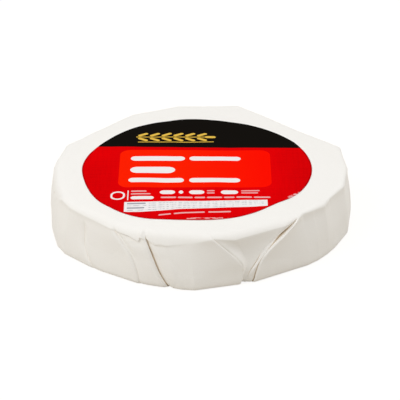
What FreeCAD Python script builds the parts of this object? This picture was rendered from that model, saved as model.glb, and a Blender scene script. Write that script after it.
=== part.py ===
import FreeCAD, Part
import math
import os
import Sketcher
from FreeCAD import Placement, Rotation, Vector

# A wheel of soft-ripened cheese, shut in its folded white paper, with a round printed label on top.
# Two pieces: the wrapped wheel, one solid because nothing of the cheese can be seen, and the label.
#
# The paper is drawn tight over the flat top, rounds over the shoulder and comes down the side in flat
# panels.  Where there is too much of it, it is tucked: a panel ends in a slanting fold that lies over
# the paper beside it.  Under the wheel the paper is gathered towards the middle, fold over fold.
#
# Millimetres and degrees.  Origin at the middle of the flat underside, +Z up, +X to the right of the
# label's print.  Bearings run counter-clockwise from +X, seen from above.

doc = FreeCAD.newDocument("wrapped_cheese_wheel")
sheet = doc.addObject("Spreadsheet::Sheet", "sizes")

# ---------------------------------------------------------------------------------------------------
# Driving dimensions: each one is a named cell of the sheet
# ---------------------------------------------------------------------------------------------------
SIZES = [
    ("wheel_radius", 72.0, "mean reach of the wrapped wheel"),
    ("wheel_height", 27.0, "flat top above the underside"),
    ("wheel_shift_y", -1.1, "middle of the bearings, behind the middle of the wheel's box"),
    ("belly_level", 10.0, "height at which the soft side bulges most"),
    ("belly_bulge", 0.8, "how far the side bulges there"),
    ("shoulder_round", 4.0, "round of the paper over the top edge"),
    ("foot_round", 1.6, "round of the paper under the bottom edge"),
    ("tuck_at_shoulder", 0.25, "step of a tuck where it starts"),
    ("tuck_at_foot", 1.0, "step of a tuck at the foot, where the folds lie thickest"),
    ("gather_count", 12, "folds gathered under the wheel"),
    ("gather_inner", 9.0, "reach of the flat middle, where the ends of the paper meet"),
    ("rim_width", 6.4, "flat rim round the gathers, which the wheel rests on"),
    ("gather_step", 0.9, "step of a gather at its outer end"),
    ("label_radius", 57.0, "round label"),
    ("label_thickness", 0.2, "paper of the label with its glue"),
    ("label_shift_x", -1.5, "middle of the label, right of the middle of the bearings"),
    ("label_shift_y", 1.0, "middle of the label, behind the middle of the bearings"),
]

# Creases of the side, counter-clockwise.  For each: its bearing at the shoulder, at the belly and at the
# foot, how far the paper there lies past the mean reach at the shoulder and at the foot, and its tuck.
# A positive tuck is a fold whose paper comes from before the crease and lies over what follows, a
# negative one comes from after it, and zero is a plain crease.  The number says how proud it lies.
CREASES = [
    ("right_corner", 2.0, 2.0, 2.0, 1.2, 3.2, 0),
    ("sharp_corner", 20.0, 20.0, 20.0, 3.4, 4.2, 0),
    ("back_flat_tuck", 33.0, 39.0, 45.0, -1.9, -2.9, 1),
    ("back_corner", 75.5, 75.5, 75.5, 8.3, 8.2, 0),
    ("back_tuck", 89.0, 91.0, 92.5, 5.3, 5.2, -1),
    ("back_left_corner", 98.5, 99.0, 99.5, 6.1, 6.2, 0),
    ("back_left_tuck", 118.0, 120.0, 122.0, 3.2, 2.8, 1),
    ("left_back_corner", 156.0, 156.0, 156.0, 2.4, 3.2, 0),
    ("left_back_tuck", 167.5, 166.0, 164.5, 0.8, 2.0, -1),
    ("left_upper_corner", 174.0, 174.0, 174.0, 1.1, 2.7, 0),
    ("left_tuck", 194.0, 193.0, 191.5, 1.6, 1.9, -1),
    ("left_corner", 209.0, 209.0, 209.0, 1.7, 5.1, 0),
    ("left_front_tuck", 218.0, 219.0, 222.5, -0.6, 2.0, 1),
    ("soft_crease", 236.5, 242.0, 244.0, -0.4, 3.3, 0),
    ("long_tuck", 248.2, 254.0, 258.4, 0.6, 2.6, -1),
    ("front_belly", 265.0, 267.0, 268.0, -0.3, 4.6, 0),
    ("envelope_left", 276.9, 287.2, 288.6, -0.2, 0.2, 1),
    ("pocket_left", 284.0, 288.3, 289.3, -1.3, 0.0, 0),
    ("pocket_right", 300.0, 289.9, 290.0, -2.3, 0.0, 0),
    ("envelope_right", 308.5, 291.5, 290.7, -2.5, 0.0, -1.4),
    ("right_front_corner", 318.0, 318.0, 317.0, -2.0, 1.6, 0),
    ("right_lower_corner", 330.5, 330.5, 330.5, -1.2, 1.8, 0),
    ("right_soft_corner", 346.0, 346.0, 346.0, 0.7, 2.9, 0),
]

SHOULDER_STEPS = 4
FOOT_STEPS = 2
# Where corners are sketched before their expressions pull them to their places.
ROUGH_REACH = 70.0
ROUGH_INNER_REACH = 10.0
ROUGH_WIDTH_DEG = 30.0
# Each gather is cut this much wider than its share of the turn, so that no sliver stays beside it.
GATHER_OVERLAP_DEG = 0.6


def fill_sheet():
    """Every size and every crease's five numbers as a cell with an alias."""
    cells = list(SIZES)
    for name, shoulder_bearing, belly_bearing, foot_bearing, shoulder_out, foot_out, _ in CREASES:
        cells.append((f"{name}_shoulder_bearing", shoulder_bearing, f"{name}: bearing at the shoulder"))
        cells.append((f"{name}_belly_bearing", belly_bearing, f"{name}: bearing at the belly"))
        cells.append((f"{name}_foot_bearing", foot_bearing, f"{name}: bearing at the foot"))
        cells.append((f"{name}_shoulder_out", shoulder_out, f"{name}: past the mean reach, shoulder"))
        cells.append((f"{name}_foot_out", foot_out, f"{name}: past the mean reach, foot"))
    for row, (alias, value, note) in enumerate(cells, start=1):
        sheet.set(f"A{row}", note)
        sheet.set(f"B{row}", str(value))
        sheet.setAlias(f"B{row}", alias)
    doc.recompute()


fill_sheet()


def origin_feature(body, role):
    """One of the body's own origin planes or axes."""
    return next(feature for feature in body.Origin.OriginFeatures if feature.Role == role)


def rough_corner(reach, bearing):
    """First place of a corner, from its reach and its bearing in degrees."""
    turn = math.radians(bearing)
    return Vector(reach * math.cos(turn), reach * math.sin(turn), 0)


def polygon_sketch(body, name, corner_rules, rough_points):
    """Closed polygon on the body's XY plane; its corners are pinned by expressions for x and y."""
    sketch = body.newObject("Sketcher::SketchObject", name)
    sketch.AttachmentSupport = [(origin_feature(body, "XY_Plane"), "")]
    sketch.MapMode = "FlatFace"
    for start, end in zip(rough_points, rough_points[1:] + rough_points[:1]):
        sketch.addGeometry(Part.LineSegment(start, end), False)
    sides = len(rough_points)
    for side in range(sides):
        sketch.addConstraint(Sketcher.Constraint("Coincident", side, 2, (side + 1) % sides, 1))
    for side, ((x_rule, y_rule), point) in enumerate(zip(corner_rules, rough_points)):
        for kind, rule, rough in (("DistanceX", x_rule, point.x), ("DistanceY", y_rule, point.y)):
            pin = sketch.addConstraint(Sketcher.Constraint(kind, -1, 1, side, 1, rough))
            sketch.setExpression(f"Constraints[{pin}]", rule)
    return sketch


# ---------------------------------------------------------------------------------------------------
# Wrapped wheel: a ruled loft through outlines of the paper, from the underside up to the flat top
# ---------------------------------------------------------------------------------------------------
def crease_corner(name, place, draw_in, lift):
    """x and y of one crease's corner at the shoulder, belly or foot, as expressions.

    draw_in is how far the round of the shoulder or foot pulls the paper in, and lift is how many
    paper steps the corner stands proud.
    """
    if place == "belly":
        up = "sizes.belly_level / (sizes.wheel_height - sizes.shoulder_round)"
        out = f"sizes.{name}_foot_out * (1 - {up}) + sizes.{name}_shoulder_out * {up}"
        step = f"(sizes.tuck_at_foot * (1 - {up}) + sizes.tuck_at_shoulder * {up})"
    else:
        out = f"sizes.{name}_{place}_out"
        step = f"sizes.tuck_at_{place}"
    reach = f"(sizes.wheel_radius + {out} + {lift} * {step} - ({draw_in}))"
    bearing = f"sizes.{name}_{place}_bearing"
    return f"{reach} * cos({bearing})", f"{reach} * sin({bearing})"


def outline(body, name, place, level, draw_in):
    """Outline of the paper at one level: one corner for a crease, a step of two for a tuck."""
    rules = []
    rough_points = []
    for crease, _, bearing, _, _, _, tuck in CREASES:
        lifts = [0]
        if tuck > 0:
            lifts = [tuck, 0]
        if tuck < 0:
            lifts = [0, -tuck]
        for lift in lifts:
            rules.append(crease_corner(crease, place, draw_in, lift))
            rough_points.append(rough_corner(ROUGH_REACH + lift, bearing))
    sketch = polygon_sketch(body, name, rules, rough_points)
    sketch.setExpression("AttachmentOffset.Base.z", level)
    return sketch


def outline_levels():
    """Place, level and draw-in of every outline: the foot's round, the belly, the shoulder's round."""
    levels = []
    for step in range(FOOT_STEPS + 1):
        turn = 90 * step / FOOT_STEPS
        level = f"sizes.foot_round * (1 - cos({turn}))"
        levels.append(("foot", level, f"sizes.foot_round * (1 - sin({turn}))"))
    levels.append(("belly", "sizes.belly_level", "-sizes.belly_bulge"))
    for step in range(SHOULDER_STEPS + 1):
        turn = 90 * step / SHOULDER_STEPS
        level = f"sizes.wheel_height - sizes.shoulder_round * (1 - sin({turn}))"
        levels.append(("shoulder", level, f"sizes.shoulder_round * (1 - cos({turn}))"))
    return levels


wheel = doc.addObject("PartDesign::Body", "wheel")
wheel.Label = "wrapped_brie"
rings = [
    outline(wheel, f"outline_{number}", place, level, draw_in)
    for number, (place, level, draw_in) in enumerate(outline_levels(), start=1)
]
doc.recompute()
side = wheel.newObject("PartDesign::AdditiveLoft", "paper_side")
side.Profile = rings[0]
side.Sections = rings[1:]
side.Ruled = True
doc.recompute()

# ---------------------------------------------------------------------------------------------------
# Gathers under the wheel: each is a flat flap that starts flush and rises to a step over the next
# ---------------------------------------------------------------------------------------------------
share = "360 / sizes.gather_count"
width = f"({share} + {GATHER_OVERLAP_DEG})"
inner = "sizes.gather_inner"
outer = "(sizes.wheel_radius - sizes.foot_round - sizes.rim_width)"
gather_rules = [
    (inner, "0"),
    (outer, "0"),
    (f"{outer} * cos({width})", f"{outer} * sin({width})"),
    (f"{inner} * cos({width})", f"{inner} * sin({width})"),
]
gather_rough = [
    rough_corner(ROUGH_INNER_REACH, 0),
    rough_corner(ROUGH_REACH, 0),
    rough_corner(ROUGH_REACH, ROUGH_WIDTH_DEG),
    rough_corner(ROUGH_INNER_REACH, ROUGH_WIDTH_DEG),
]
gather = polygon_sketch(wheel, "gather_outline", gather_rules, gather_rough)
gather.AttachmentOffset = Placement(Vector(0, 0, 0), Rotation(Vector(1, 0, 0), 1.0))
tilt = f"atan(sizes.gather_step / ({outer} * sin({share})))"
gather.setExpression("AttachmentOffset.Rotation.Angle", tilt)
doc.recompute()
solid_before = side.Shape.Volume
gather_cut = wheel.newObject("PartDesign::Pocket", "gather_cut")
gather_cut.Profile = gather
gather_cut.Type = "Length"
gather_cut.setExpression("Length", "2 * sizes.gather_step")
gather_cut.Reversed = False
doc.recompute()
gathers = wheel.newObject("PartDesign::PolarPattern", "gathers")
gathers.Originals = [gather_cut]
gathers.Axis = (origin_feature(wheel, "Z_Axis"), [""])
gathers.Angle = 360
gathers.setExpression("Occurrences", "sizes.gather_count")
wheel.Tip = gathers
wheel.setExpression("Placement.Base.y", "sizes.wheel_shift_y")
doc.recompute()
gathered = solid_before - wheel.Shape.Volume

# ---------------------------------------------------------------------------------------------------
# Label: a round of printed paper, glued flat on the top
# ---------------------------------------------------------------------------------------------------
label = doc.addObject("PartDesign::Body", "label_body")
label.Label = "label"
label_outline = label.newObject("Sketcher::SketchObject", "label_outline")
label_outline.AttachmentSupport = [(origin_feature(label, "XY_Plane"), "")]
label_outline.MapMode = "FlatFace"
label_outline.addGeometry(Part.Circle(Vector(0, 0, 0), Vector(0, 0, 1), ROUGH_REACH), False)
label_outline.addConstraint(Sketcher.Constraint("Coincident", 0, 3, -1, 1))
label_pin = label_outline.addConstraint(Sketcher.Constraint("Radius", 0, ROUGH_REACH))
label_outline.setExpression(f"Constraints[{label_pin}]", "sizes.label_radius")
label_disc = label.newObject("PartDesign::Pad", "label_disc")
label_disc.Profile = label_outline
label_disc.setExpression("Length", "sizes.label_thickness")
label.setExpression("Placement.Base.x", "sizes.label_shift_x")
label.setExpression("Placement.Base.y", "sizes.label_shift_y + sizes.wheel_shift_y")
label.setExpression("Placement.Base.z", "sizes.wheel_height")
doc.recompute()

# ---------------------------------------------------------------------------------------------------
# Checks, then one file for each piece
# ---------------------------------------------------------------------------------------------------
pieces = [wheel, label]
for item in doc.Objects:
    if "Invalid" in item.State or "Error" in item.State:
        raise RuntimeError(f"{item.Label} failed: {item.State}")
for piece in pieces:
    if piece.Shape.isNull() or not piece.Shape.isValid() or len(piece.Shape.Solids) != 1:
        raise RuntimeError(f"{piece.Label} isn't one valid solid")
if gathered <= 0:
    raise RuntimeError("the gathers cut nothing out of the underside")

os.makedirs("parts", exist_ok=True)
for piece in pieces:
    piece.Shape.exportStep(f"parts/{piece.Label}.step")
    box = piece.Shape.BoundBox
    volume = piece.Shape.Volume / 1000
    print(f"{piece.Label}: {volume:.2f} cm3, {len(piece.Shape.Faces)} faces, "
          f"x {box.XMin:.2f}..{box.XMax:.2f}, y {box.YMin:.2f}..{box.YMax:.2f}, "
          f"z {box.ZMin:.2f}..{box.ZMax:.2f}")
print(f"gathers: {gathered / 1000:.2f} cm3 taken out of the underside")
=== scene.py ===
import math
from collections import namedtuple

import bmesh
import bpy
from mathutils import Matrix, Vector


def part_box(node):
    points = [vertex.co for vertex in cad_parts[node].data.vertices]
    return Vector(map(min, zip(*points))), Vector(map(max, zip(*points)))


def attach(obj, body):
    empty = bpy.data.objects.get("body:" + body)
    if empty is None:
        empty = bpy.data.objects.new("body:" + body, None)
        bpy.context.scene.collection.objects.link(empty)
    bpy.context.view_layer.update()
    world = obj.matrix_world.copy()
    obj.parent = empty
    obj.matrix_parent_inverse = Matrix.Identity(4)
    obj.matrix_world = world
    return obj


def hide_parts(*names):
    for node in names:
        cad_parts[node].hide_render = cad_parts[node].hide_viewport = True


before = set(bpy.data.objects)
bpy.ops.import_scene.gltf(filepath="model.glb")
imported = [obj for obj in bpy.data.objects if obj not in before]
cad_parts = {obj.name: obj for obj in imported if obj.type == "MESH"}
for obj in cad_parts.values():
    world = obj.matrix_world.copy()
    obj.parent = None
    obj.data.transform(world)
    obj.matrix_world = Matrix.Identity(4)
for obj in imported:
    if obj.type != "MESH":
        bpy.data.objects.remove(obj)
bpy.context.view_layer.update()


# ---------------------------------------------------------------------------------------------------
# Wrapped wheel: a low round of soft cheese shut in one sheet of white waxed paper.  The sheet is drawn
# tight over the top and pleated down the side; each pleat is a fold that lies over the paper beside
# it, and all of them run on under the wheel, where they are gathered to the middle.
# ---------------------------------------------------------------------------------------------------
mm = 0.001
wheel_low, wheel_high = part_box("wrapped_brie")
wheel_height = (wheel_high.z - wheel_low.z) / mm

# In millimetres: mean reach of the side from its hub, and the hub's place; the level up to which the side
# leans; the belly and the place pressed in above it, each with the level of its middle and its spread; how
# wide a corner is, and how far a pleat takes to start and end.
mean_reach = 72.0
hub_y = -1.1
side_height = 23.0
belly_bulge, belly_level, belly_spread = 0.8, 10.0, 13.0
press_level, press_spread = 15.5, 8.0
corner_spread = 0.5
pleat_fade = 2.0
# Share of the way up at which the draw-in under the shoulder's edge starts; widest column in degrees.
under_edge_from = 0.75
column_width = 5.5

# Levels at which a bearing or a measure of a pleat is given; one number alone holds at every level.
crease_levels = (26.0, 23.5, 21.0, 15.0, 10.0, 6.0, 0.0)

# A pleat: 1 if its paper comes from before the crease and lies over what follows, -1 the other way;
# the levels where it starts and ends; how proud its free edge stands, how wide that is rolled over and
# how thick it is; how far it laps; how wide the mouth beside it is; how deep the paper under it lies.
Pleat = namedtuple("Pleat", "side starts ends lift roll lip lap mouth sink")
back_pleat = Pleat(1, 25.0, -9.0, 0.6, 0.6, 0.6, 2.4, 0.9, 0.9)
back_pleat_left = back_pleat._replace(side=-1)
corner_pleat = Pleat(-1, 23.0, -9.0, 0.4, 0.4, 0.3, 1.6, 1.0, 0.5)
foot_pleat = Pleat(1, 21.0, -9.0, (0.0, 0.0, 0.0, 0.0, 0.0, 0.1, 0.3), 1.2, 0.1, -0.8, 2.6,
                   (0.0, 0.2, 1.0, 1.2, 0.8, 0.3, 0.3))
soft_pleat = Pleat(1, 25.0, -9.0, 0.4, 1.1, 0.1, -0.9, 2.8, (0.9, 0.9, 0.9, 0.7, 0.4, 0.2, 0.2))
long_pleat = Pleat(1, 24.0, -9.0, 0.9, 0.7, 0.4, 0.9, 0.7, (0.9, 1.1, 1.3, 1.1, 1.0, 1.0, 0.9))
envelope_left = Pleat(1, 27.0, 8.5, 0.7, 0.9, 0.3, 1.2, 0.8, 0.2)
envelope_tip = Pleat(-1, 15.0, 3.0, 1.3, 1.1, 0.6, 0.6, 0.2, 0.3)
envelope_right = Pleat(
    -1, 27.2, -9.0, (1.0, 1.5, 1.8, 1.1, 0.6, 0.8, 0.8), 0.75, (0.5, 0.8, 0.9, 0.5, 0.4, 0.5, 0.5),
    (0.3, 0.5, 1.5, 0.4, 0.4, 0.7, 0.7), (0.3, 0.3, 2.8, 0.1, 0.2, 0.9, 0.9),
    (0.1, 0.1, 2.3, -0.2, 0.1, 1.1, 1.1))

# Creases of the side, counter-clockwise: bearing in degrees; reach past the mean at the shoulder and at
# the foot; level of the shoulder's edge and how far in from there the top slopes; how sharp that edge is
# and how crisp the crease; how far the paper is pressed in below the shoulder, and how far right under
# the edge; and its pleat.
Crease = namedtuple("Crease", "bearings top_out foot_out edge run sharp crisp press under pleat",
                    defaults=(0.0, 0.0, None))
creases = [
    Crease(2.0, 1.2, 3.2, 25.9, 2.2, 0.6, 0.7),
    Crease(20.0, 3.4, 4.2, 25.8, 2.4, 0.6, 0.9),
    Crease((33.0, 34.0, 35.0, 37.0, 39.0, 41.0, 45.0),
           -1.9, -2.9, 25.4, 3.0, 0.4, 1.0, 0.0, 0.0, back_pleat),
    Crease(75.5, 8.3, 8.2, 25.4, 3.0, 0.4, 0.9),
    Crease((89.0, 89.2, 89.5, 90.0, 91.0, 91.8, 92.5),
           5.3, 5.2, 25.0, 3.6, 0.3, 1.0, 0.0, 0.0, back_pleat_left),
    Crease(98.8, 6.1, 6.2, 25.0, 3.6, 0.3, 0.6),
    Crease((118.0, 118.2, 118.5, 119.0, 120.0, 121.0, 122.0),
           3.2, 2.8, 25.0, 3.6, 0.3, 1.0, 0.0, 0.0, back_pleat),
    Crease(156.0, 2.4, 3.2, 24.7, 4.2, 0.3, 0.6),
    Crease((167.5, 167.2, 167.0, 166.5, 166.0, 165.0, 164.5),
           0.8, 2.0, 24.5, 4.6, 0.3, 1.0, 0.0, 0.0, back_pleat_left),
    Crease(175.0, 1.1, 2.7, 24.5, 4.8, 0.3, 0.5),
    Crease((194.0, 194.0, 194.0, 193.5, 193.0, 192.0, 191.5),
           1.4, 1.9, 22.4, 3.4, 0.9, 0.7, 0.0, 0.0, corner_pleat),
    Crease(200.5, 1.5, 3.4, 23.0, 3.6, 0.9, 0.3),
    Crease(205.0, 1.6, 4.6, 25.4, 6.0, 0.9, 0.3),
    Crease(211.0, 1.4, 4.8, 24.8, 6.5, 0.9, 0.0),
    Crease((219.5, 219.5, 219.5, 220.1, 220.7, 223.0, 227.0),
           -0.2, 2.6, 24.4, 6.5, 0.9, 0.4, 0.4, 0.0, foot_pleat),
    Crease((234.4, 235.0, 237.6, 243.0, 245.4, 246.8, 247.8),
           -0.5, 3.0, 23.8, 6.5, 0.9, 0.6, 0.0, 0.3, soft_pleat),
    Crease((240.8, 241.2, 242.8, 246.8, 248.9, 250.2, 251.8), 0.0, 3.0, 23.4, 6.5, 0.9, 0.0, 0.0, 0.9),
    Crease((244.8, 245.2, 246.7, 249.9, 251.7, 253.2, 256.0), 0.3, 3.0, 21.9, 6.5, 0.9, 0.0, 0.0, 1.1),
    Crease((246.7, 246.9, 248.4, 251.2, 252.9, 254.4, 257.2), 0.1, 2.8, 23.6, 6.3, 0.9, 0.0, 0.0, 0.9),
    Crease((248.3, 248.6, 249.8, 252.3, 254.0, 255.5, 258.4),
           -0.9, 1.5, 22.8, 6.0, 0.9, 1.0, 0.0, 0.4, long_pleat),
    Crease((252.0, 252.2, 253.2, 255.4, 256.9, 258.3, 261.1), 0.3, 3.2, 21.3, 6.5, 0.9, 0.0, 0.0, 0.7),
    Crease((257.0, 257.2, 257.6, 258.8, 260.0, 261.2, 263.7), 0.4, 3.9, 21.4, 6.5, 0.8, 0.0, 0.0, 0.3),
    Crease((266.0, 266.3, 266.6, 267.0, 267.4, 267.8, 268.0), -0.5, 4.2, 22.8, 6.5, 0.4, 0.2),
    Crease((274.2, 276.4, 278.8, 283.7, 286.6, 285.8, 284.8),
           -0.2, 0.8, 25.2, 5.0, 0.5, 1.0, 0.0, 0.0, envelope_left),
    Crease((283.0, 283.4, 284.8, 287.2, 288.9, 287.3, 286.5), -0.4, -1.6, 23.8, 6.0, 0.6, 0.2, 2.0, 0.0),
    Crease((307.6, 304.0, 301.4, 294.9, 291.9, 288.7, 287.9),
           -2.0, -0.9, 24.8, 5.0, 0.5, 0.4, 1.2, 0.0, envelope_tip),
    Crease((311.8, 308.3, 304.2, 296.3, 292.9, 291.7, 290.4),
           -2.7, 0.0, 26.2, 3.0, 0.5, 1.0, 0.0, 0.0, envelope_right),
    Crease(316.0, -3.4, 1.2, 26.2, 1.6, 0.8, 0.5),
    Crease(321.5, -2.4, 1.7, 25.9, 1.8, 0.8, 0.3),
    Crease(327.5, -0.9, 1.8, 25.6, 2.0, 0.8, 0.5),
    Crease(333.5, -1.7, 2.0, 26.2, 1.8, 0.8, 0.4),
    Crease(346.0, 0.7, 2.9, 25.9, 2.0, 0.8, 0.7),
]

# Rings of the paper, from the middle of the underside out, up the side and in over the top.  Under the
# wheel: level, share of the reach, step and lap of a gather, swirl in degrees.  Up the side: share of the
# way to the shoulder's edge and draw-in of the foot's round.  At the shoulder: share of its slope across
# and up.  On top: share of the reach.
under_rings = [(0.9, 0.08, 0.3, -0.2, -34.0), (0.8, 0.28, 0.8, 1.2, -24.0), (0.8, 0.55, 0.8, 1.8, -13.0),
               (0.7, 0.80, 0.7, 2.2, -4.0), (0.3, 0.95, 0.3, 2.2, 0.0)]
side_rings = [(0.0, 1.3), (0.02, 0.5), (0.07, 0.0), (0.17, 0.0), (0.28, 0.0), (0.39, 0.0), (0.5, 0.0),
              (0.6, 0.0), (0.7, 0.0), (0.79, 0.0), (0.87, 0.0), (0.93, 0.0), (0.972, 0.0)]
shoulder_rings = [(0.0, 0.0), (0.12, 0.42), (0.34, 0.74), (0.64, 0.93), (1.0, 1.0)]
top_shares = [0.92, 0.84, 0.72, 0.55, 0.36, 0.16]


def at_level(values, level):
    """A value at a level, from the ones given at crease_levels."""
    if isinstance(values, float):
        return values
    level = min(level, crease_levels[0])
    for number, low in enumerate(crease_levels[1:]):
        if level >= low:
            share = (level - low) / (crease_levels[number] - low)
            return values[number + 1] + (values[number] - values[number + 1]) * share
    return values[-1]


def pleat_strength(pleat, level):
    """How much of a pleat there is at a level: 0 above its start and below its end, 1 between."""
    above = (pleat.starts - level) / pleat_fade
    below = (level - pleat.ends) / pleat_fade
    return max(0.0, min(1.0, above, below))


def polar(reach, bearing, level):
    """Place from a reach and a level in millimetres and a bearing in degrees about the wheel's hub."""
    angle = math.radians(bearing)
    return Vector((reach * math.cos(angle), reach * math.sin(angle) + hub_y, level)) * mm


def side_reach(crease, level, draw_in):
    """Reach of the paper at a crease of the side, with the belly's bulge and the place pressed in."""
    up = min(1.0, level / side_height)
    bulge = belly_bulge * math.cos(min(1.0, abs(level - belly_level) / belly_spread) * math.pi / 2)
    press = crease.press * math.cos(min(1.0, abs(level - press_level) / press_spread) * math.pi / 2)
    return mean_reach + crease.foot_out + (crease.top_out - crease.foot_out) * up + bulge - press - draw_in


def crease_points(crease, kind, numbers):
    """A crease's points on one ring: three at a corner, five at a pleat.  Those are its roll, the front and
    back of its lip, the paper tucked under it, and where that comes out again beside the lip."""
    pleat = crease.pleat
    side = pleat.side if pleat else 1
    share, draw_in, swirl = 1.0, 0.0, 0.0
    if kind == "under":
        level, share, step, lap, swirl = numbers
        places = [(lap / 2 - 0.8 * share, 0.0, step), (lap / 2, 0.0, step), (lap / 2 - 0.1, 0.0, step / 2),
                  (-lap / 2, 0.0, 0.0), (lap / 2 + 1.2 * share, 0.0, 0.0)]
    if kind == "side":
        up, draw_in = numbers
        level = crease.edge * up
        near_edge = (up - under_edge_from) / (side_rings[-1][0] - under_edge_from)
        draw_in += crease.under * max(0.0, near_edge) ** 2
    if kind == "shoulder":
        across, up = numbers
        level = crease.edge + (wheel_height - crease.edge) * up
        draw_in = crease.run * across
    if kind == "top":
        level, draw_in, share = wheel_height, crease.run, numbers
    if kind != "under":
        spread = corner_spread * share
        places = [(-spread, 0.0, 0.0), (-spread / 2, 0.0, 0.0), (0.0, 0.0, 0.0), (spread / 2, 0.0, 0.0),
                  (spread, 0.0, 0.0)]
    if pleat and kind in ("side", "shoulder"):
        strength = pleat_strength(pleat, level)
        lift, roll, lip, lap, mouth, sink = [
            at_level(values, level)
            for values in (pleat.lift, pleat.roll, pleat.lip, pleat.lap, pleat.mouth, pleat.sink)]
        folded = [(-roll, lift), (0.0, lift - roll * 0.7), (-0.1, lift - roll * 0.7 - lip), (-lap, -sink),
                  (mouth, 0.0)]
        places = [
            (flat[0] + (fold[0] - flat[0]) * strength, fold[1] * strength, 0.0)
            for flat, fold in zip(places, folded)]
    if not pleat:
        places = [places[0], (0.0, 0.0, places[0][2]), places[-1]]
    reach = side_reach(crease, 0.0 if kind == "under" else level, draw_in) * share
    bearing = at_level(crease.bearings, 0.0 if kind == "under" else level) + swirl
    points = [
        polar(reach + out, bearing + side * math.degrees(along / reach), level - down)
        for along, out, down in places]
    return points if side > 0 else points[::-1]


def panel_count(crease, after):
    """How many columns the panel between two creases needs, besides its edges."""
    widths = [
        (at_level(after.bearings, level) - at_level(crease.bearings, level)) % 360
        for level in crease_levels]
    return max(0, round(max(widths) / column_width) - 1)


def ring_points(kind, numbers):
    """All points of one ring of the paper, crease by crease, with flat panels between them."""
    points = []
    for crease, after in zip(creases, creases[1:] + creases[:1]):
        corner = crease_points(crease, kind, numbers)
        stop = crease_points(after, kind, numbers)[0]
        points += corner
        inner = panel_count(crease, after)
        points += [corner[-1].lerp(stop, step / (inner + 1)) for step in range(1, inner + 1)]
    return points


rings = [("under", numbers) for numbers in under_rings]
rings += [("side", numbers) for numbers in side_rings]
rings += [("shoulder", numbers) for numbers in shoulder_rings]
rings += [("top", share) for share in top_shares]
edge_ring = len(under_rings) + len(side_rings)

columns = len(ring_points(*rings[0]))
bpy.ops.object.select_all(action="DESELECT")
bpy.ops.mesh.primitive_circle_add(vertices=columns, radius=mean_reach * mm, fill_type="NOTHING")
paper = bpy.context.object
paper.name = "waxed_paper"
bpy.ops.object.mode_set(mode="EDIT")
for number, ring in enumerate(rings):
    if number:
        bpy.ops.mesh.extrude_region_move()
    mesh = bmesh.from_edit_mesh(paper.data)
    mesh.verts.ensure_lookup_table()
    for vert, place in zip(mesh.verts[number * columns:], ring_points(*ring)):
        vert.co = place
    bmesh.update_edit_mesh(paper.data)

# Both ends are drawn to a point: the top in the middle of the label, the gathers under the wheel.
bpy.ops.mesh.extrude_region_move()
bpy.ops.mesh.merge(type="CENTER")
mesh = bmesh.from_edit_mesh(paper.data)
mesh.verts.ensure_lookup_table()
bpy.ops.mesh.select_all(action="DESELECT")
for vert in mesh.verts[:columns]:
    vert.select = True
mesh.select_flush(True)
bpy.ops.mesh.extrude_region_move()
bpy.ops.mesh.merge(type="CENTER")

# Folds stay crisp down the side and under the wheel; on the top they open out flat.  The shoulder's edge
# is a bend round the wheel, sharper in some places than in others.
column_crease = []
for crease, after in zip(creases, creases[1:] + creases[:1]):
    bends = [0.5, 1.0, 1.0, 1.0, 0.25] if crease.pleat else [0.0, 1.0, 0.0]
    if crease.pleat and crease.pleat.side < 0:
        bends = bends[::-1]
    column_crease += [(crease, bend) for bend in bends] + [(crease, 0.0)] * panel_count(crease, after)
mesh = bmesh.from_edit_mesh(paper.data)
mesh.verts.ensure_lookup_table()
crisp = mesh.edges.layers.float.new("crease_edge")
for edge in mesh.edges:
    low, high = sorted(vert.index for vert in edge.verts)
    if high >= columns * len(rings):
        continue
    crease, bend = column_crease[low % columns]
    kind, numbers = rings[high // columns]
    if high - low != columns:
        edge[crisp] = crease.sharp if high // columns == low // columns == edge_ring else 0.0
        continue
    level = max(vert.co.z for vert in edge.verts) / mm
    strength = {"under": 1.0, "side": 1.0, "shoulder": 0.6, "top": 0.0}[kind]
    if crease.pleat and kind in ("side", "shoulder"):
        strength *= pleat_strength(crease.pleat, level)
    edge[crisp] = min(1.0, crease.crisp * bend * strength)
bmesh.update_edit_mesh(paper.data)
bpy.ops.mesh.select_all(action="SELECT")
bpy.ops.mesh.normals_make_consistent(inside=False)
bpy.ops.object.mode_set(mode="OBJECT")
smooth = paper.modifiers.new("smooth", "SUBSURF")
smooth.levels = 2
smooth.render_levels = 2
bpy.ops.object.modifier_apply(modifier="smooth")


def select_near(piece, place, reach):
    """Selects the vertices of the piece in edit mode that lie within reach of a place."""
    bpy.ops.mesh.select_all(action="DESELECT")
    mesh = bmesh.from_edit_mesh(piece.data)
    for vert in mesh.verts:
        vert.select = (vert.co - place).length < reach
    mesh.select_flush(True)
    bmesh.update_edit_mesh(piece.data)


# The cheese has sunk a little under the front left of the label and swells beside it on the right.  Of
# each place: bearing, reach, rise and how far that spreads.
top_rises = [(240.0, 58.0, -1.1, 20.0), (214.0, 56.0, -0.6, 18.0), (312.0, 55.0, 0.5, 12.0),
             (80.0, 62.0, -0.6, 22.0)]
bpy.ops.object.mode_set(mode="EDIT")
for bearing, reach, rise, spread in top_rises:
    select_near(paper, polar(reach, bearing, wheel_height), 2.5 * mm)
    bpy.ops.transform.translate(
        value=(0.0, 0.0, rise * mm), use_proportional_edit=True,
        proportional_edit_falloff="SMOOTH", proportional_size=spread * mm)
bpy.ops.object.mode_set(mode="OBJECT")

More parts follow.
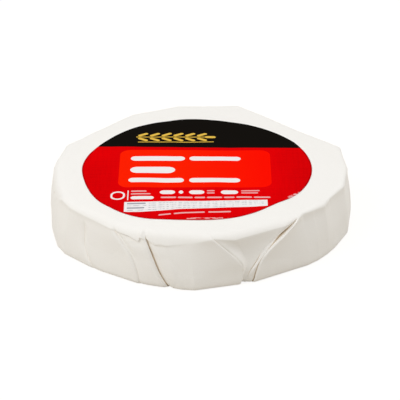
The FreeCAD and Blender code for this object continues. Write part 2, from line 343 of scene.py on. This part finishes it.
# Slight waves all over, where hands have pressed the paper on; none on the underside, which rests flat.
wavy = paper.vertex_groups.new(name="above_the_foot")
for vert in paper.data.vertices:
    wavy.add([vert.index], max(0.0, min(1.0, (vert.co.z / mm - 1.5) / 4.0)), "REPLACE")
press_marks = bpy.data.textures.new("press_marks", "CLOUDS")
press_marks.noise_scale = 16 * mm
press_marks.noise_depth = 1
waves = paper.modifiers.new("waves", "DISPLACE")
waves.texture = press_marks
waves.texture_coords = "LOCAL"
waves.vertex_group = wavy.name
waves.strength = 0.7 * mm
waves.mid_level = 0.5
bpy.ops.object.modifier_apply(modifier="waves")
bpy.ops.object.shade_smooth_by_angle(angle=math.radians(50))


def vector_step(tree, operation, first, second):
    """A vector math node of the tree; an input is a socket or a plain vector."""
    node = tree.nodes.new("ShaderNodeVectorMath")
    node.operation = operation
    for socket, value in zip(node.inputs, (first, second)):
        if isinstance(value, bpy.types.NodeSocket):
            tree.links.new(value, socket)
        elif value is not None:
            socket.default_value = value
    return node.outputs["Value" if operation == "LENGTH" else "Vector"]


def math_step(tree, operation, first, second):
    """A math node of the tree; an input is a socket or a plain number."""
    node = tree.nodes.new("ShaderNodeMath")
    node.operation = operation
    for socket, value in zip(node.inputs, (first, second)):
        if isinstance(value, bpy.types.NodeSocket):
            tree.links.new(value, socket)
        elif value is not None:
            socket.default_value = value
    return node.outputs["Value"]


def mask_step(tree, value, start, stop):
    """Falls from 1 to 0 as the value goes from start to stop."""
    node = tree.nodes.new("ShaderNodeMapRange")
    node.inputs["From Min"].default_value = start
    node.inputs["From Max"].default_value = stop
    node.inputs["To Min"].default_value = 1.0
    node.inputs["To Max"].default_value = 0.0
    tree.links.new(value, node.inputs["Value"])
    return node.outputs["Result"]


def noise_step(tree, place, scale, detail):
    """Noise of the tree at a place, its scale a number or one for each axis; 0 to 1 about 0.5."""
    spread = tree.nodes.new("ShaderNodeMapping")
    spread.inputs["Scale"].default_value = scale if isinstance(scale, tuple) else (scale, scale, scale)
    tree.links.new(place, spread.inputs["Vector"])
    noise = tree.nodes.new("ShaderNodeTexNoise")
    noise.inputs["Scale"].default_value = 1.0
    noise.inputs["Detail"].default_value = detail
    tree.links.new(spread.outputs["Vector"], noise.inputs["Vector"])
    return noise.outputs["Fac"]


def colour_step(tree, under, mask, colour):
    """A colour with another laid over it where the mask is 1."""
    node = tree.nodes.new("ShaderNodeMix")
    node.data_type = "RGBA"
    tree.links.new(mask, node.inputs["Factor"])
    colours = [socket for socket in node.inputs if socket.type == "RGBA"]
    if isinstance(under, bpy.types.NodeSocket):
        tree.links.new(under, colours[0])
    else:
        colours[0].default_value = under
    colours[1].default_value = colour
    return next(socket for socket in node.outputs if socket.type == "RGBA")


# Paper grain, for the wrap and the label alike: cloudy patches, fine fibres, and the long faint wrinkles
# of a sheet that was once folded.
paper_grain = bpy.data.node_groups.new("paper_grain", "ShaderNodeTree")
paper_grain.interface.new_socket("Place", in_out="INPUT", socket_type="NodeSocketVector")
for output in ("Patches", "Fibres", "Wrinkles"):
    paper_grain.interface.new_socket(output, in_out="OUTPUT", socket_type="NodeSocketFloat")
grain_in = paper_grain.nodes.new("NodeGroupInput")
grain_out = paper_grain.nodes.new("NodeGroupOutput")
grain_place = grain_in.outputs["Place"]
paper_grain.links.new(noise_step(paper_grain, grain_place, 0.045, 3.0), grain_out.inputs["Patches"])
paper_grain.links.new(noise_step(paper_grain, grain_place, 1.6, 2.0), grain_out.inputs["Fibres"])
cells = paper_grain.nodes.new("ShaderNodeTexVoronoi")
cells.feature = "DISTANCE_TO_EDGE"
cells.inputs["Scale"].default_value = 0.034
paper_grain.links.new(grain_place, cells.inputs["Vector"])
wrinkle = mask_step(paper_grain, cells.outputs["Distance"], 0.0, 0.045)
patchy = mask_step(paper_grain, noise_step(paper_grain, grain_place, 0.03, 1.0), 0.45, 0.62)
paper_grain.links.new(math_step(paper_grain, "MULTIPLY", wrinkle, patchy), grain_out.inputs["Wrinkles"])

# White paper, a little warmer in patches, with painted shade in the folds: darker and warmer where the
# paper is shut in between two folds.
paper_finish = bpy.data.materials.new("waxed_paper")
paper_finish.use_nodes = True
sheet = paper_finish.node_tree
shader = sheet.nodes["Principled BSDF"]
sheet_coords = sheet.nodes.new("ShaderNodeTexCoord")
sheet_place = vector_step(sheet, "MULTIPLY", sheet_coords.outputs["Object"], (1 / mm, 1 / mm, 1 / mm))
grain = sheet.nodes.new("ShaderNodeGroup")
grain.node_tree = paper_grain
sheet.links.new(sheet_place, grain.inputs["Place"])
patches = mask_step(sheet, grain.outputs["Patches"], 0.62, 0.38)
sheet_colour = colour_step(sheet, (0.893, 0.869, 0.826, 1.0), patches, (0.876, 0.850, 0.802, 1.0))
fibres = mask_step(sheet, grain.outputs["Fibres"], 0.5, 0.9)
sheet_colour = colour_step(sheet, sheet_colour, fibres, (0.91, 0.89, 0.85, 1.0))
# Painted shade: ambient occlusion darkens and warms the paper's colour in the creases and gaps of the
# folds.
fold_occlusion = sheet.nodes.new("ShaderNodeAmbientOcclusion")
fold_occlusion.samples = 8
fold_occlusion.only_local = True
fold_occlusion.inputs["Distance"].default_value = 2.2 * mm
painted_fold_shade = mask_step(sheet, fold_occlusion.outputs["AO"], 0.15, 0.7)
sheet_colour = colour_step(sheet, sheet_colour, painted_fold_shade, (0.88, 0.77, 0.62, 1.0))
sheet.links.new(sheet_colour, shader.inputs["Base Color"])
roughness = math_step(sheet, "MULTIPLY", grain.outputs["Patches"], 0.2)
sheet.links.new(math_step(sheet, "ADD", roughness, 0.48), shader.inputs["Roughness"])
shader.inputs["Specular IOR Level"].default_value = 0.2
sheet_bump = sheet.nodes.new("ShaderNodeBump")
sheet_bump.inputs["Distance"].default_value = 0.12 * mm
relief = math_step(sheet, "MULTIPLY", grain.outputs["Fibres"], 0.12)
relief = math_step(sheet, "SUBTRACT", relief, math_step(sheet, "MULTIPLY", grain.outputs["Wrinkles"], 0.6))
sheet.links.new(relief, sheet_bump.inputs["Height"])
sheet.links.new(sheet_bump.outputs["Normal"], shader.inputs["Normal"])
paper.data.materials.append(paper_finish)

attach(paper, "root")
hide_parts("wrapped_brie")


# ---------------------------------------------------------------------------------------------------
# Label: a round of coated paper, printed flat in black, deep red and bright red with white and gold,
# and glued on the middle of the top, whose soft rises and dips it follows.
# ---------------------------------------------------------------------------------------------------
label_low, label_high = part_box("label")
label_middle = (label_low + label_high) / 2
label_radius = (label_high.x - label_low.x) / 2
label_thickness = 0.15 * mm
label_columns = 192
label_rings = 28

bpy.ops.object.select_all(action="DESELECT")
drop_from = label_high.z + 4 * mm
bpy.ops.mesh.primitive_circle_add(
    vertices=label_columns, radius=label_radius, fill_type="NOTHING",
    location=(label_middle.x, label_middle.y, drop_from))
label = bpy.context.object
label.name = "round_label"
bpy.ops.object.transform_apply(location=True)
bpy.ops.object.mode_set(mode="EDIT")
for ring in range(label_rings - 1):
    keep = (label_rings - ring - 1) / (label_rings - ring)
    bpy.ops.mesh.extrude_region_move()
    bpy.ops.transform.resize(
        value=(keep, keep, 1.0), center_override=(label_middle.x, label_middle.y, drop_from))
bpy.ops.mesh.extrude_region_move()
bpy.ops.mesh.merge(type="CENTER")

# The edge was cut and pressed on unevenly.  Of each place: bearing, how far it runs out and its spread.
edge_pulls = [(225.0, 2.6, 34.0), (311.0, -1.3, 20.0), (150.0, -1.4, 30.0), (86.0, 0.9, 30.0)]
for bearing, pull, reach in edge_pulls:
    outward = Vector((math.cos(math.radians(bearing)), math.sin(math.radians(bearing)), 0.0))
    place = Vector((label_middle.x, label_middle.y, drop_from)) + outward * label_radius
    select_near(label, place, 3 * mm)
    bpy.ops.transform.translate(
        value=outward * pull * mm, use_proportional_edit=True,
        proportional_edit_falloff="SMOOTH", proportional_size=reach * mm)
mesh = bmesh.from_edit_mesh(label.data)
mesh.verts.ensure_lookup_table()
edge_near = mesh.verts.layers.float.new("edge_near")
for number, vert in enumerate(mesh.verts):
    vert[edge_near] = 1.0 if number < label_columns else 0.0
bmesh.update_edit_mesh(label.data)
bpy.ops.mesh.select_all(action="SELECT")
bpy.ops.mesh.normals_make_consistent(inside=False)
bpy.ops.object.mode_set(mode="OBJECT")
drop = label.modifiers.new("drop", "SHRINKWRAP")
drop.target = paper
drop.wrap_method = "PROJECT"
drop.use_project_z = True
drop.use_negative_direction = True
drop.use_positive_direction = False
drop.offset = 0.05 * mm
bpy.ops.object.modifier_apply(modifier="drop")
wall = label.modifiers.new("wall", "SOLIDIFY")
wall.thickness = label_thickness
wall.offset = 1.0
bpy.ops.object.modifier_apply(modifier="wall")
bpy.ops.object.shade_smooth_by_angle(angle=math.radians(40))

# One printed shape: a bar with rounded corners, as a mask over the label.  Its edge is soft by print_blur.
print_blur = 0.08
shape_print = bpy.data.node_groups.new("printed_shape", "ShaderNodeTree")
for socket in ("Place", "Middle", "Half"):
    shape_print.interface.new_socket(socket, in_out="INPUT", socket_type="NodeSocketVector")
for socket in ("Corner", "Turn"):
    shape_print.interface.new_socket(socket, in_out="INPUT", socket_type="NodeSocketFloat")
shape_print.interface.new_socket("Mask", in_out="OUTPUT", socket_type="NodeSocketFloat")
given = shape_print.nodes.new("NodeGroupInput")
shown = shape_print.nodes.new("NodeGroupOutput")
off_middle = vector_step(shape_print, "SUBTRACT", given.outputs["Place"], given.outputs["Middle"])
spin = shape_print.nodes.new("ShaderNodeVectorRotate")
spin.rotation_type = "Z_AXIS"
shape_print.links.new(off_middle, spin.inputs["Vector"])
shape_print.links.new(given.outputs["Turn"], spin.inputs["Angle"])
folded = vector_step(shape_print, "ABSOLUTE", spin.outputs["Vector"], None)
corner_vector = shape_print.nodes.new("ShaderNodeCombineXYZ")
shape_print.links.new(given.outputs["Corner"], corner_vector.inputs["X"])
shape_print.links.new(given.outputs["Corner"], corner_vector.inputs["Y"])
core = vector_step(shape_print, "SUBTRACT", given.outputs["Half"], corner_vector.outputs["Vector"])
past = vector_step(shape_print, "SUBTRACT", folded, core)
past = vector_step(shape_print, "MAXIMUM", past, (0.0, 0.0, 0.0))
flat_past = vector_step(shape_print, "MULTIPLY", past, (1.0, 1.0, 0.0))
distance = vector_step(shape_print, "LENGTH", flat_past, None)
distance = math_step(shape_print, "SUBTRACT", distance, given.outputs["Corner"])
shape_print.links.new(mask_step(shape_print, distance, -print_blur, print_blur), shown.inputs["Mask"])

label_finish = bpy.data.materials.new("printed_label")
label_finish.use_nodes = True
ink = label_finish.node_tree
ink_shader = ink.nodes["Principled BSDF"]
label_coords = ink.nodes.new("ShaderNodeTexCoord")
centred = ink.nodes.new("ShaderNodeMapping")
centred.inputs["Location"].default_value = -label_middle / mm
centred.inputs["Scale"].default_value = (1 / mm, 1 / mm, 1 / mm)
ink.links.new(label_coords.outputs["Object"], centred.inputs["Vector"])
print_place = centred.outputs["Vector"]
print_axes = ink.nodes.new("ShaderNodeSeparateXYZ")
ink.links.new(print_place, print_axes.inputs["Vector"])


def printed(left, right, low, high, corner, turn=0.0, place=print_place):
    """Mask of one printed bar, in millimetres from the middle of the label."""
    node = ink.nodes.new("ShaderNodeGroup")
    node.node_tree = shape_print
    ink.links.new(place, node.inputs["Place"])
    node.inputs["Middle"].default_value = ((left + right) / 2, (low + high) / 2, 0.0)
    node.inputs["Half"].default_value = ((right - left) / 2, (high - low) / 2, 1.0)
    node.inputs["Corner"].default_value = corner
    node.inputs["Turn"].default_value = math.radians(-turn)
    return node.outputs["Mask"]


def all_of(masks):
    """One mask that holds every one of several."""
    together = masks[0]
    for mask in masks[1:]:
        together = math_step(ink, "MAXIMUM", together, mask)
    return together


def inked(under, mask, colour):
    """The print so far with one more ink laid over it where the mask is 1."""
    return colour_step(ink, under, mask, colour)


def streaks(scale, detail, start, stop):
    """Mask of the print's own unevenness: noise drawn out by its scale across and along the label."""
    return mask_step(ink, noise_step(ink, print_place, scale, detail), start, stop)


deep_red = (0.785, 0.0008, 0.0022, 1.0)
darker_red = (0.56, 0.0008, 0.0024, 1.0)
rim_red = (0.24, 0.0006, 0.003, 1.0)
bright_red = (0.98, 0.014, 0.0008, 1.0)
bright_red_right = (0.98, 0.005, 0.0006, 1.0)
ink_black = (0.0075, 0.0062, 0.005, 1.0)
ink_white = (0.86, 0.83, 0.82, 1.0)
ink_pink = (0.80, 0.42, 0.42, 1.0)
ink_grey = (0.36, 0.35, 0.39, 1.0)
ink_gold = (0.78, 0.50, 0.075, 1.0)

# Deep red field with a faint weave, darker toward the front edge and, as painted shade, darker toward the
# right edge; bright rounded panel; black cap whose straight lower edge slopes a little.
weave_across = streaks((0.9, 0.05, 1.0), 2.0, 0.62, 0.38)
weave_along = streaks((0.05, 0.9, 1.0), 2.0, 0.66, 0.42)
weave = math_step(ink, "MULTIPLY", math_step(ink, "ADD", weave_across, weave_along), 0.16)
off_centre = vector_step(ink, "ADD", print_place, (-6.0, 10.0, 0.0))
off_centre = vector_step(ink, "MULTIPLY", off_centre, (0.9, 1.0, 0.0))
front_edge_darkening = mask_step(ink, vector_step(ink, "LENGTH", off_centre, None), 50.0, 32.0)
front_edge_darkening = math_step(ink, "MULTIPLY", front_edge_darkening, 0.35)
front_side = mask_step(ink, print_axes.outputs["Y"], -10.0, 20.0)
weave_edge_and_painted_shade = math_step(ink, "ADD", math_step(ink, "MULTIPLY", front_edge_darkening, front_side), weave)
# Painted shade: the red darkens toward the right edge of the label, where the top gets less light.
painted_shade_right = mask_step(ink, print_axes.outputs["X"], 50.0, 36.0)
weave_edge_and_painted_shade = math_step(ink, "ADD", weave_edge_and_painted_shade, math_step(ink, "MULTIPLY", painted_shade_right, 0.25))
print_colour = inked(deep_red, weave_edge_and_painted_shade, darker_red)
panel = printed(-38.5, 36.5, -22.0, 20.0, 5.5)
print_colour = inked(print_colour, panel, bright_red)
toward_right = mask_step(ink, print_axes.outputs["X"], 34.0, -10.0)
print_colour = inked(print_colour, math_step(ink, "MULTIPLY", panel, toward_right), bright_red_right)
slope = math_step(ink, "MULTIPLY", print_axes.outputs["X"], 0.016)
cap = math_step(ink, "ADD", print_axes.outputs["Y"], slope)
print_colour = inked(print_colour, mask_step(ink, cap, 23.4, 23.2), ink_black)

# Bars stand where a pack has its words.
headings = [(-33.0, -6.0, 7.9, 12.7), (-3.8, 21.8, 7.9, 12.7), (-33.0, -10.8, -6.0, 1.2),
            (-33.6, -6.4, -16.4, -11.6), (-3.8, 21.2, -16.4, -11.6)]
figures = [(-18.0, -10.6, -29.2, -25.2), (-8.8, -6.6, -29.2, -25.2), (-3.8, 3.6, -29.2, -25.2),
           (11.6, 20.0, -29.2, -25.2), (-32.0, -20.8, -34.4, -31.4)]
white_bars = [printed(*bar, (bar[3] - bar[2]) / 2) for bar in headings + figures]
print_colour = inked(print_colour, all_of(white_bars), ink_white)

# Small print: short bars beside the figures, one row of them below, and a tilted row near the edge.
small_lines = [(4.8, 8.6, -26.3, -25.2), (4.8, 8.6, -28.6, -27.5), (21.4, 30.4, -26.3, -25.2),
               (21.4, 29.6, -28.6, -27.5), (-32.0, -24.4, -26.8, -25.6), (-32.0, -22.4, -29.6, -28.4)]
small_row = [-17.9, -9.6, -1.6, 4.4, 12.6, 18.6, 27.0, 35.9]
small_lines += [(left + 0.4, right - 0.4, -33.4, -31.9)
                for left, right in zip(small_row, small_row[1:])]
small_bars = [printed(*bar, (bar[3] - bar[2]) / 2) for bar in small_lines]
for middle, half in ((-15.3, 3.0), (-3.6, 7.4), (10.8, 5.4)):
    level = -48.95 + 0.055 * middle
    small_bars.append(printed(middle - half, middle + half, level - 0.65, level + 0.65, 0.6, 3.2))
print_colour = inked(print_colour, all_of(small_bars), ink_pink)

# A plain ring with a thin stroke beside it, on the left of the small print.
ring_outer = printed(-41.8, -34.8, -34.6, -26.0, 3.5)
ring_inner = printed(-40.9, -35.7, -33.4, -27.2, 2.6)
ring = math_step(ink, "SUBTRACT", ring_outer, ring_inner)
stroke = printed(-33.6, -33.1, -35.0, -25.4, 0.2)
print_colour = inked(print_colour, all_of([ring, stroke]), ink_white)

# White box, lower on its left than on its right, with rows of grey print that follow its edges.
def sloping_line(rise, start):
    """Level at this place of a straight line across the label."""
    return math_step(ink, "ADD", math_step(ink, "MULTIPLY", print_axes.outputs["X"], rise), start)


box_low = math_step(ink, "MAXIMUM", sloping_line(0.0727, -44.86), sloping_line(0.036, -44.86))
box_high = math_step(ink, "MAXIMUM", sloping_line(0.0276, -36.44), sloping_line(0.008, -36.44))
box_rows = 9.0
box_up = math_step(ink, "SUBTRACT", print_axes.outputs["Y"], box_low)
box_up = math_step(ink, "DIVIDE", box_up, math_step(ink, "SUBTRACT", box_high, box_low))
box_join = ink.nodes.new("ShaderNodeCombineXYZ")
ink.links.new(print_axes.outputs["X"], box_join.inputs["X"])
ink.links.new(math_step(ink, "MULTIPLY", box_up, box_rows), box_join.inputs["Y"])
box_place = box_join.outputs["Vector"]
print_colour = inked(print_colour, printed(-34.9, 33.9, 0.0, box_rows, 0.3, place=box_place), ink_white)
grey_rows = [(-33.6, -24.6, 6.9, 8.1), (-33.6, -25.2, 2.9, 4.1)]
grey_bars = [printed(*bar, 0.4, place=box_place) for bar in grey_rows]
print_colour = inked(print_colour, all_of(grey_bars), ink_grey)
faint_rows = [(-23.4, 31.0, 7.1, 7.9), (-33.6, 32.4, 5.1, 5.9), (-24.0, 32.4, 3.1, 3.9),
              (-33.6, 20.0, 1.1, 1.9)]
faint_bars = all_of([printed(*bar, 0.4, place=box_place) for bar in faint_rows])
broken = math_step(ink, "MULTIPLY", streaks((0.8, 0.1, 1.0), 3.0, 0.40, 0.60), 0.6)
print_colour = inked(print_colour, math_step(ink, "MULTIPLY", faint_bars, broken), ink_grey)

# Gold sprig on the cap: a stem with pairs of leaves, over a thin line.
leaf_places = [-27.5, -21.5, -15.5, -9.5, -3.5, 2.5]
sprig = [printed(-31.0, 5.0, 35.2, 36.0, 0.4), printed(-30.0, 8.5, 29.4, 30.1, 0.3)]
for place in leaf_places:
    sprig += [printed(place - 2.9, place + 2.9, 37.4, 39.4, 1.0, 34.0),
              printed(place - 2.9, place + 2.9, 31.8, 33.8, 1.0, -34.0)]
sprig.append(printed(4.0, 9.5, 34.3, 36.9, 1.3))
print_colour = inked(print_colour, all_of(sprig), ink_gold)

# The cut edge is bare white paper, the ink beside it a little darker; two pale streaks near the front,
# partly a painted highlight of light caught on crinkles of the label and partly scuffed ink.
rim = ink.nodes.new("ShaderNodeAttribute")
rim.attribute_name = "edge_near"
below_cap = mask_step(ink, print_axes.outputs["Y"], 20.0, 23.0)
rim_mask = math_step(ink, "MULTIPLY", mask_step(ink, rim.outputs["Fac"], 0.85, 0.45), below_cap)
print_colour = inked(print_colour, math_step(ink, "MULTIPLY", rim_mask, 0.6), rim_red)
# Painted highlight: pale pink streaks where crinkles of the label would catch the light, together with
# scuffed ink.
crinkle_highlight_and_scuff = all_of([printed(-5.0, 12.5, -55.4, -54.2, 0.6, 2.0), printed(43.0, 51.0, -31.2, -29.4, 0.8, 42.0)])
crinkle_highlight_and_scuff = math_step(ink, "MULTIPLY", crinkle_highlight_and_scuff, streaks((0.4, 0.8, 1.0), 4.0, 0.52, 0.44))
print_colour = inked(print_colour, crinkle_highlight_and_scuff, ink_pink)
print_colour = inked(print_colour, mask_step(ink, rim.outputs["Fac"], 0.99, 0.96), ink_white)

ink.links.new(print_colour, ink_shader.inputs["Base Color"])
ink_grain = ink.nodes.new("ShaderNodeGroup")
ink_grain.node_tree = paper_grain
ink.links.new(print_place, ink_grain.inputs["Place"])
ink_bump = ink.nodes.new("ShaderNodeBump")
ink_bump.inputs["Distance"].default_value = 0.1 * mm
ink_relief = math_step(ink, "MULTIPLY", ink_grain.outputs["Fibres"], 0.1)
ink_relief = math_step(ink, "ADD", ink_relief, math_step(ink, "MULTIPLY", weave, 0.8))
ink.links.new(ink_relief, ink_bump.inputs["Height"])
ink.links.new(ink_bump.outputs["Normal"], ink_shader.inputs["Normal"])
ink_shader.inputs["Roughness"].default_value = 0.5
ink_shader.inputs["Specular IOR Level"].default_value = 0.0
label.data.materials.append(label_finish)

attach(label, "root")
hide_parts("label")


# ---------------------------------------------------------------------------------------------------
# Floor, light and camera: a pale warm floor that shows white, a white surround, a wide soft light over
# the front left, a weaker one on the right and a faint one above.
# ---------------------------------------------------------------------------------------------------
bpy.ops.object.select_all(action="DESELECT")
bpy.ops.mesh.primitive_plane_add(size=6.0, location=(0.0, 0.0, wheel_low.z))
floor = bpy.context.object
floor.name = "floor"
floor_finish = bpy.data.materials.new("pale_floor")
floor_finish.use_nodes = True
floor_tree = floor_finish.node_tree
floor_shader = floor_tree.nodes["Principled BSDF"]
floor_shader.inputs["Base Color"].default_value = (0.66, 0.61, 0.53, 1.0)
floor_shader.inputs["Roughness"].default_value = 0.9
floor_shader.inputs["Specular IOR Level"].default_value = 0.0


def seen_directly(tree):
    """1 for a ray from the camera or off something glossy, 0 for light that falls on the object."""
    path = tree.nodes.new("ShaderNodeLightPath")
    return math_step(tree, "MAXIMUM", path.outputs["Is Camera Ray"], path.outputs["Is Glossy Ray"])


# Seen directly the floor is white but for a share of its own shading, which is the object's soft shadow.
shadow_share = 0.3
floor_white = floor_tree.nodes.new("ShaderNodeEmission")
floor_white.inputs["Strength"].default_value = 1.23
floor_amount = math_step(floor_tree, "MULTIPLY", seen_directly(floor_tree), 1 - shadow_share)
floor_mix = floor_tree.nodes.new("ShaderNodeMixShader")
floor_tree.links.new(floor_amount, floor_mix.inputs[0])
floor_tree.links.new(floor_shader.outputs["BSDF"], floor_mix.inputs[1])
floor_tree.links.new(floor_white.outputs["Emission"], floor_mix.inputs[2])
floor_tree.links.new(floor_mix.outputs["Shader"], floor_tree.nodes["Material Output"].inputs["Surface"])
floor.data.materials.append(floor_finish)

world = bpy.data.worlds.new("studio")
bpy.context.scene.world = world
world.use_nodes = True
surround = world.node_tree
surround_light = surround.nodes["Background"]
surround_light.inputs["Color"].default_value = (1.0, 1.0, 1.0, 1.0)
surround_light.inputs["Strength"].default_value = 0.57
surround_white = surround.nodes.new("ShaderNodeBackground")
surround_white.inputs["Color"].default_value = (1.0, 1.0, 1.0, 1.0)
surround_white.inputs["Strength"].default_value = 1.0
surround_mix = surround.nodes.new("ShaderNodeMixShader")
surround.links.new(seen_directly(surround), surround_mix.inputs[0])
surround.links.new(surround_light.outputs["Background"], surround_mix.inputs[1])
surround.links.new(surround_white.outputs["Background"], surround_mix.inputs[2])
surround.links.new(surround_mix.outputs["Shader"], surround.nodes["World Output"].inputs["Surface"])

# Each light: bearing and rise of the place where it stands, distance, size and power.
soft_lights = [("soft_left", 208.0, 47.0, 1.0, 0.7, 3.6), ("soft_right", 4.0, 46.0, 1.0, 0.7, 2.2),
               ("soft_top", 90.0, 80.0, 1.0, 1.0, 0.55)]
for name, bearing, rise, far, size, power in soft_lights:
    turn, up = math.radians(bearing), math.radians(rise)
    place = Vector((math.cos(turn) * math.cos(up), math.sin(turn) * math.cos(up), math.sin(up))) * far
    bpy.ops.object.light_add(type="AREA", location=place)
    lamp = bpy.context.object
    lamp.name = name
    lamp.data.shape = "DISK"
    lamp.data.size = size
    lamp.data.energy = power
    lamp.rotation_euler = (-place).to_track_quat("-Z", "Y").to_euler()

view_target = Vector((0.0, -8.6, 13.5)) * mm
view_distance = 1.1
view_rise = math.radians(26.8)
bpy.ops.object.camera_add()
camera = bpy.context.object
away = Vector((0.0, -math.cos(view_rise), math.sin(view_rise)))
camera.location = view_target + away * view_distance
camera.rotation_euler = (-away).to_track_quat("-Z", "Y").to_euler()
camera.data.lens = 200.1
bpy.context.scene.camera = camera
bpy.context.scene.view_settings.view_transform = "Standard"
